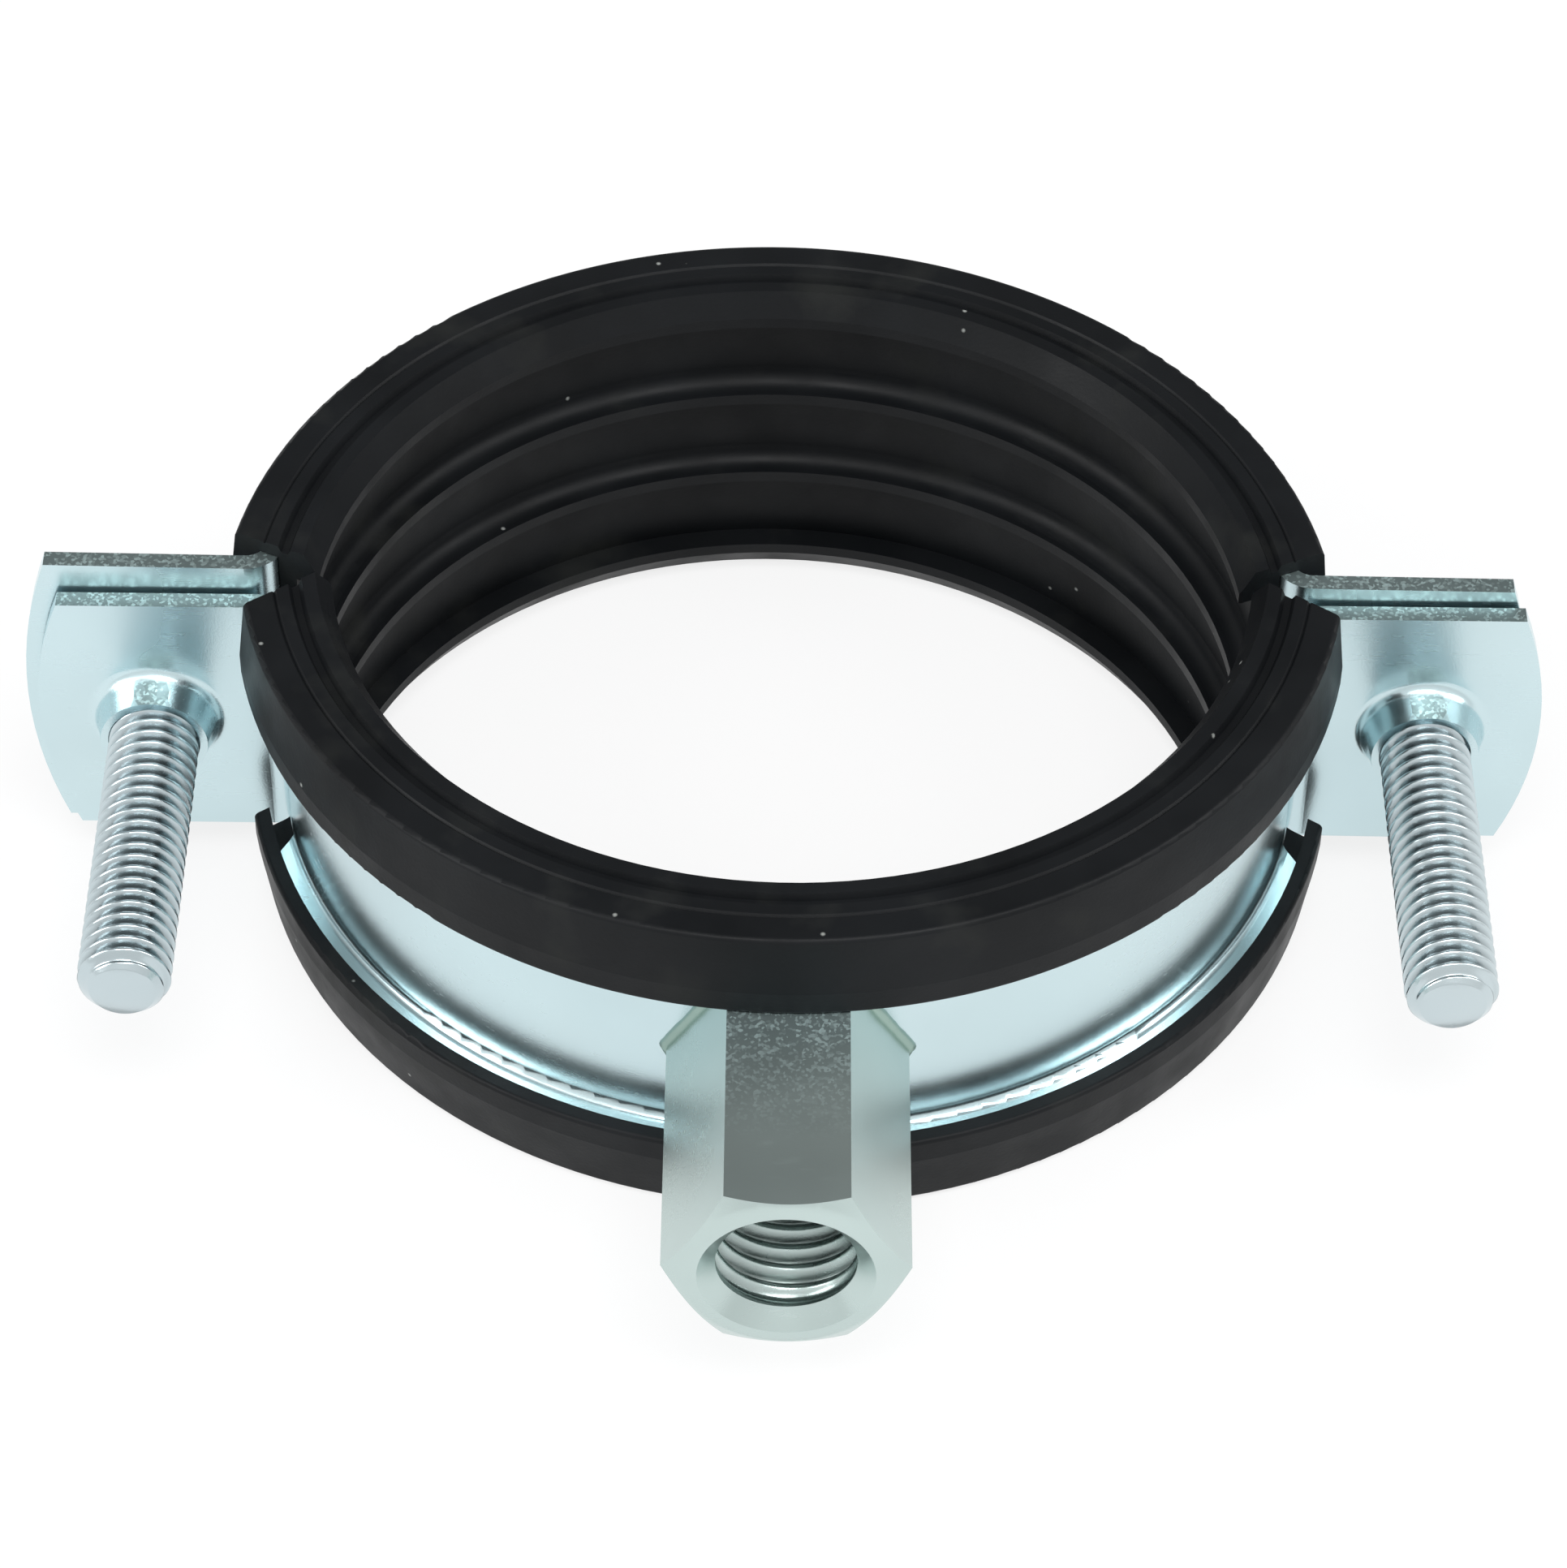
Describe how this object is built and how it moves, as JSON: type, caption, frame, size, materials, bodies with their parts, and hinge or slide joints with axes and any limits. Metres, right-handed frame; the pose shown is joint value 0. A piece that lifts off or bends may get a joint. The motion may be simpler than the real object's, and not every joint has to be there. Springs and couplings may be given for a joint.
{
  "type": "rubber lined pipe clamp",
  "caption": "Two-piece steel pipe clamp with a ribbed rubber liner, a hexagonal connection nut and closing screws in its ears.",
  "frame": {"origin": "middle of the closed bore, at mid width of the liner, on the split plane", "axes": "+Z along the pipe, +X towards one pair of ears, -Y towards the mouth of the connection nut and the points of the screws"},
  "size_m": [0.0993, 0.0803, 0.0258],
  "materials": {
    "zinc_band": "bright blue-passivated zinc plate",
    "zinc_nut": "zinc plate over turned hexagon bar",
    "zinc_screw": "zinc plate over rolled thread",
    "liner_rubber": "matt black extruded EPDM"
  },
  "bodies": {
    "front_half": {"front_band": "zinc_band", "front_liner": "liner_rubber", "connection_nut": "zinc_nut"},
    "rear_half": {"rear_band": "zinc_band", "rear_liner": "liner_rubber"},
    "left_screw": {"left_screw": "zinc_screw"},
    "right_screw": {"right_screw": "zinc_screw"}
  },
  "joints": [
    {"name": "halves_open", "type": "slide", "parent": "front_half", "child": "rear_half", "axis": [0, 1, 0], "range_m": [0, 0.02]},
    {"name": "left_screw_turn", "type": "hinge", "parent": "rear_half", "child": "left_screw", "pos_m": [-0.0415, 0, 0], "axis": [0, 1, 0], "range_deg": [0, 7200]},
    {"name": "right_screw_turn", "type": "hinge", "parent": "rear_half", "child": "right_screw", "pos_m": [0.0415, 0, 0], "axis": [0, 1, 0], "range_deg": [0, 7200]}
  ],
  "couplings": [
    {"joint": "left_screw_turn", "follows": "halves_open", "rad_per_m": 6283.2},
    {"joint": "right_screw_turn", "follows": "halves_open", "rad_per_m": 6283.2}
  ]
}
